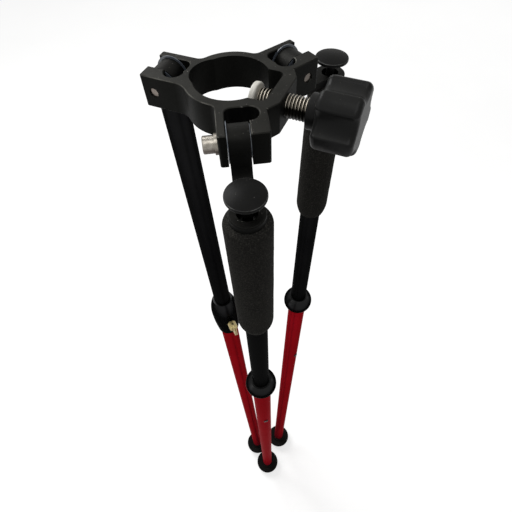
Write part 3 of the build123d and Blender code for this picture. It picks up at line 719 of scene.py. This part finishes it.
ROD_DARK = (0.55, 0.55, 0.56, 1)
ROD_LIGHT = (0.68, 0.68, 0.69, 1)
BRASS_DULL = (0.34, 0.275, 0.125, 1)
BRASS_LIGHT = (0.45, 0.37, 0.18, 1)
MOULDED_DARK = (0.0130, 0.0130, 0.0135, 1)
MOULDED_LIGHT = (0.0190, 0.0190, 0.0195, 1)
MOULDED_EDGE = (0.1, 0.1, 0.1, 1)


def bare_aluminium():
    """Mill-finished aluminium rod."""
    material, tree, shader = new_material("bare_aluminium")
    lines = use_group(tree, drawn_lines, Low=0.28, High=0.42)
    tone = use_group(tree, grain, Scale=80.0, Low=0.0, High=1.0)
    colour = blend_colour(tree, tone.outputs["Value"], ROD_DARK, ROD_LIGHT)
    drawn = bump_from(tree, lines.outputs["Height"], strength=0.08, distance=0.0001)
    feed(tree, shader, colour, lines.outputs["Value"], drawn)
    shader.inputs["Metallic"].default_value = 1.0
    return material


def cast_brass():
    """Cast brass dulled by handling."""
    material, tree, shader = new_material("cast_brass")
    tarnish = use_group(tree, grain, Scale=180.0, Low=0.0, High=1.0)
    skin = use_group(tree, grain, Scale=900.0, Low=0.34, High=0.52)
    colour = blend_colour(tree, tarnish.outputs["Value"], BRASS_DULL, BRASS_LIGHT)
    cast = bump_from(tree, skin.outputs["Height"], strength=0.1, distance=0.0002)
    feed(tree, shader, colour, skin.outputs["Value"], cast)
    shader.inputs["Metallic"].default_value = 1.0
    return material


def gloss_black():
    """Polished black plastic, written as a dark metal so that its edges stay dark before a white surround."""
    material, tree, shader = new_material("gloss_black")
    skin = use_group(tree, grain, Scale=2200.0, Low=0.27, High=0.37)
    tone = use_group(tree, grain, Scale=45.0, Low=0.0, High=1.0)
    # Faint painted sheen on upper faces, with specks of dust.
    dust_and_sheen = use_group(tree, dust_and_top_sheen, Film=0.01, Specks=0.2)
    body = blend_colour(tree, tone.outputs["Value"], MOULDED_DARK, MOULDED_LIGHT)
    with_dust_and_sheen = blend_colour(tree, dust_and_sheen.outputs["Mask"], body, FINE_DUST_AND_SHEEN)
    smooth = bump_from(tree, skin.outputs["Height"], strength=0.05, distance=0.0001)
    feed(tree, shader, with_dust_and_sheen, skin.outputs["Value"], smooth)
    shader.inputs["Metallic"].default_value = 1.0
    shader.inputs["Specular Tint"].default_value = MOULDED_EDGE
    shader.inputs["Coat Weight"].default_value = 0.012
    shader.inputs["Coat Roughness"].default_value = 0.2
    return material


moulded_black = gloss_black()
brass = cast_brass()
rod_metal = bare_aluminium()
for leg in ("front", "right"):
    dress(moulded_black, f"{leg}_top_bush", f"{leg}_spring_seat", f"{leg}_lock_collet")
    dress(rod_metal, f"{leg}_release_rod")
    dress(brass, f"{leg}_lock_cone")
dress(moulded_black, "left_slide_guide")

# Return springs of the thumb buttons
# Seven turns of round stainless wire round the release rod, between the button's stem and a seat that
# is fixed in the tube. Pressing the button shortens the spring towards its seat.

SPRING_RADIUS = 0.0029
SPRING_WIRE = 0.00045
SPRING_TURNS = 7.0
SPRING_STEPS = 32       # points in a turn
SPRING_SIDES = 12       # points round the wire


def spring_tree():
    """Coil of round wire about Z, standing on the origin."""
    tree, given, result = new_shape_tree(
        "wound_spring", ("Height", "Radius", "Wire", "Turns"), ("Steps", "Sides"),
    )
    coil = add_node(tree, "GeometryNodeCurveSpiral", {
        "Resolution": given.outputs["Steps"],
        "Rotations": given.outputs["Turns"],
        "Start Radius": given.outputs["Radius"],
        "End Radius": given.outputs["Radius"],
        "Height": given.outputs["Height"],
    })
    section = add_node(tree, "GeometryNodeCurvePrimitiveCircle", {
        "Resolution": given.outputs["Sides"], "Radius": given.outputs["Wire"],
    })
    wire = add_node(tree, "GeometryNodeCurveToMesh", {
        "Curve": coil.outputs[0], "Profile Curve": section.outputs[0], "Fill Caps": True,
    })
    end_shape_tree(tree, given, result, wire.outputs[0])
    return tree


wound_spring = spring_tree()
for leg in ("front", "right"):
    up = -Vector(joints[f"{leg}_leg_extend"]["axis"])
    seat_centre = end_centre(f"{leg}_spring_seat", up, True)
    reach = along(f"{leg}_spring", up)[1]
    spring_foot = seat_centre + up * (reach.min() - seat_centre.dot(up))
    spring_height = reach.max() - reach.min() - 2 * SPRING_WIRE
    spring = mesh_from_tree(
        f"{leg}_wound_spring", wound_spring, stand(spring_foot + up * SPRING_WIRE, up),
        Height=spring_height, Radius=SPRING_RADIUS, Wire=SPRING_WIRE, Turns=SPRING_TURNS,
        Steps=SPRING_STEPS, Sides=SPRING_SIDES, Finish=steel,
    )
    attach(spring, f"leg_{leg}")
    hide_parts(f"{leg}_spring")
    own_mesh(spring)

# Collars and lower tubes
# Moulded gloss black collars are pressed on the lower tubes, which are anodised red over a drawn surface.
# A dark rivet in the red tube stops it at full length.

RED_DEEP = (0.25, 0.0115, 0.0220, 1)
RED_LIGHT = (0.30, 0.0145, 0.0285, 1)
RED_EDGE = (0.4, 0.02, 0.03, 1)
RIVET_DARK = (0.0035, 0.0030, 0.0030, 1)
RIVET_SCUFFED = (0.0090, 0.0080, 0.0080, 1)


def red_tube():
    """Red anodised tube with drawing lines."""
    material, tree, shader = new_material("red_tube")
    lines = use_group(tree, drawn_lines, Low=0.32, High=0.42)
    tone = use_group(tree, grain, Scale=18.0, Low=0.0, High=1.0)
    colour = blend_colour(tree, tone.outputs["Value"], RED_DEEP, RED_LIGHT)
    drawn = bump_from(tree, lines.outputs["Height"], strength=0.02, distance=0.0001)
    feed(tree, shader, colour, lines.outputs["Value"], drawn)
    shader.inputs["Metallic"].default_value = 0.7
    shader.inputs["Specular Tint"].default_value = RED_EDGE
    shader.inputs["Specular IOR Level"].default_value = 0.0
    shader.inputs["Coat Weight"].default_value = 0.006
    shader.inputs["Coat Roughness"].default_value = 0.2
    return material


def dark_rivet():
    """Blackened steel rivet, lightly scuffed."""
    material, tree, shader = new_material("dark_rivet")
    scuff = use_group(tree, grain, Scale=600.0, Low=0.3, High=0.5)
    tone = use_group(tree, grain, Scale=400.0, Low=0.0, High=1.0)
    colour = blend_colour(tree, tone.outputs["Value"], RIVET_DARK, RIVET_SCUFFED)
    scuffed = bump_from(tree, scuff.outputs["Height"], strength=0.1, distance=0.0001)
    feed(tree, shader, colour, scuff.outputs["Value"], scuffed)
    shader.inputs["Specular IOR Level"].default_value = 0.05
    return material


dress(moulded_black, "front_collar", "right_collar", "left_collar")
dress(red_tube(), "front_lower_tube", "right_lower_tube", "left_lower_tube")
dress(dark_rivet(), "front_stop_rivet", "right_stop_rivet")

# Thumb screw of the plain leg
# A cast brass wing screw through the wall of the left collar. It presses the nylon plug inside the
# collar on the upper tube and so holds the lower tube.

dress(brass, "thumb_screw")

# Feet and points
# Round feet of matt black rubber on the ends of the lower tubes, each with a steel point screwed in from
# below. Dust from the ground lies on them, and their upper faces carry a faint painted sheen.

FOOT_DARK = (0.0045, 0.0045, 0.0043, 1)
FOOT_LIGHT = (0.0080, 0.0078, 0.0074, 1)
GROUND_DUST_AND_SHEEN = (0.20, 0.19, 0.17, 1)


def black_rubber():
    """Matt black rubber with ground-in dust and a faint painted sheen on top."""
    material, tree, shader = new_material("black_rubber")
    skin = use_group(tree, grain, Scale=800.0, Low=0.6, High=0.8)
    tone = use_group(tree, grain, Scale=60.0, Low=0.0, High=1.0)
    # Faint painted sheen on upper faces, with specks of dust.
    dust_and_sheen = use_group(tree, dust_and_top_sheen, Film=0.02, Specks=0.2)
    body = blend_colour(tree, tone.outputs["Value"], FOOT_DARK, FOOT_LIGHT)
    with_dust_and_sheen = blend_colour(tree, dust_and_sheen.outputs["Mask"], body, GROUND_DUST_AND_SHEEN)
    matt = bump_from(tree, skin.outputs["Height"], strength=0.2, distance=0.0002)
    feed(tree, shader, with_dust_and_sheen, skin.outputs["Value"], matt)
    shader.inputs["Specular IOR Level"].default_value = 0.03
    return material


dress(black_rubber(), "front_foot", "right_foot", "left_foot")
dress(steel, "front_point", "right_point", "left_point")

# Floor and light
# A plain matt floor under the points, a large soft key light from the upper back left, a weaker one from
# the upper front, a tall narrow one on each side and an even surround. Floor and surround look nearly
# white, and the floor grows paler away from the head, so that it meets the surround without an edge.

FLOOR_REACH = 60.0
FLOOR_DARK = (0.60, 0.60, 0.60, 1)
FLOOR_LIGHT = (0.64, 0.64, 0.64, 1)
FLOOR_LIFT_NEAR = 0.6   # glow of the floor where it is seen, up to FLOOR_NEAR from the head
FLOOR_LIFT_FAR = 0.77   # and from FLOOR_FAR on
FLOOR_NEAR = 0.8
FLOOR_FAR = 3.2
SURROUND_COLOUR = (1.0, 1.0, 0.98, 1)
SURROUND_LIGHT = 0.24   # strength for the light that it gives
SURROUND_SEEN = 0.92    # strength where it is seen or mirrored


def seen_ray(tree):
    """Value socket that is 1 for rays that show a surface and 0 for rays that carry its light."""
    path = add_node(tree, "ShaderNodeLightPath")
    seen = arithmetic(tree, "MAXIMUM", path.outputs["Is Camera Ray"], path.outputs["Is Glossy Ray"])
    return arithmetic(tree, "MAXIMUM", seen, path.outputs["Is Transmission Ray"])


def pale_floor():
    """Nearly white floor with faint unevenness."""
    material, tree, shader = new_material("pale_floor")
    tone = use_group(tree, grain, Scale=3.0, Low=0.0, High=1.0)
    skin = use_group(tree, grain, Scale=40.0, Low=0.6, High=0.7)
    colour = blend_colour(tree, tone.outputs["Value"], FLOOR_DARK, FLOOR_LIGHT)
    feed(tree, shader, colour, skin.outputs["Value"])
    place = add_node(tree, "ShaderNodeTexCoord")
    away = add_node(tree, "ShaderNodeVectorMath", {0: place.outputs["Object"]}, operation="LENGTH")
    white = ramp(
        tree, away.outputs["Value"], FLOOR_NEAR, FLOOR_FAR,
        low=FLOOR_LIFT_NEAR, high=FLOOR_LIFT_FAR, shape="SMOOTHSTEP",
    )
    lift = arithmetic(tree, "MULTIPLY", seen_ray(tree), white)
    tree.links.new(lift, shader.inputs["Emission Strength"])
    shader.inputs["Emission Color"].default_value = (1, 1, 1, 1)
    shader.inputs["Specular IOR Level"].default_value = 0.0
    return material


floor_mesh = bpy.data.meshes.new("floor")
square = ((-1, -1), (1, -1), (1, 1), (-1, 1))
corners = [(x * FLOOR_REACH, y * FLOOR_REACH, cad_box[0].z) for x, y in square]
floor_mesh.from_pydata(corners, [], [(0, 1, 2, 3)])
floor_mesh.materials.append(pale_floor())
floor = bpy.data.objects.new("floor", floor_mesh)
bpy.context.scene.collection.objects.link(floor)


def soft_light(name, place, target, width, height, power):
    """Rectangular area light aimed at a point."""
    data = bpy.data.lights.new(name, "AREA")
    data.shape = "RECTANGLE"
    data.size = width
    data.size_y = height
    data.energy = power
    lamp = bpy.data.objects.new(name, data)
    lamp.location = place
    lamp.rotation_euler = (Vector(target) - Vector(place)).to_track_quat("-Z", "Y").to_euler()
    bpy.context.scene.collection.objects.link(lamp)


soft_light("key_light", place=(-0.8, 1.1, 1.15), target=(0, 0, -0.1), width=1.1, height=1.1, power=30.0)
soft_light("front_light", place=(0.1, -0.62, 1.65), target=(0, 0, -0.2), width=1.0, height=1.0, power=8.0)
soft_light("right_light", place=(1.4, 0.1, -0.15), target=(0, 0, -0.25), width=0.3, height=1.7, power=2.2)
soft_light("left_light", place=(-1.35, -0.5, -0.15), target=(0, 0, -0.25), width=0.3, height=1.7, power=3.2)
world = bpy.data.worlds.new("studio")
world.use_nodes = True
surround = world.node_tree
background = surround.nodes["Background"]
background.inputs["Color"].default_value = SURROUND_COLOUR
strength = ramp(surround, seen_ray(surround), 0.0, 1.0, low=SURROUND_LIGHT, high=SURROUND_SEEN)
surround.links.new(strength, background.inputs["Strength"])
bpy.context.scene.world = world

# Camera
# It stands in front of the head and a little above it and looks down along the legs, at the photograph's
# viewing angle. The lens is moderately wide and has no shift.

CAMERA_PLACE = Vector((0.0043, -0.2314, 0.1468))
CAMERA_FORWARD = Vector((0.0316, 0.5759, -0.8169)).normalized()
CAMERA_RIGHT = Vector((0.9934, -0.1084, -0.0380))
CAMERA_LENS = 28.88
CAMERA_SENSOR = 36.0
CAMERA_NEAREST = 0.01
right = (CAMERA_RIGHT - CAMERA_FORWARD * CAMERA_RIGHT.dot(CAMERA_FORWARD)).normalized()
upward = right.cross(CAMERA_FORWARD)
camera_data = bpy.data.cameras.new("camera")
camera_data.sensor_width = CAMERA_SENSOR
camera_data.lens = CAMERA_LENS
camera_data.clip_start = CAMERA_NEAREST
camera = bpy.data.objects.new("camera", camera_data)
turned = Matrix((right, upward, -CAMERA_FORWARD)).transposed().to_4x4()
camera.matrix_world = Matrix.Translation(CAMERA_PLACE) @ turned
bpy.context.scene.collection.objects.link(camera)
bpy.context.scene.camera = camera
bpy.context.scene.view_settings.view_transform = "Standard"
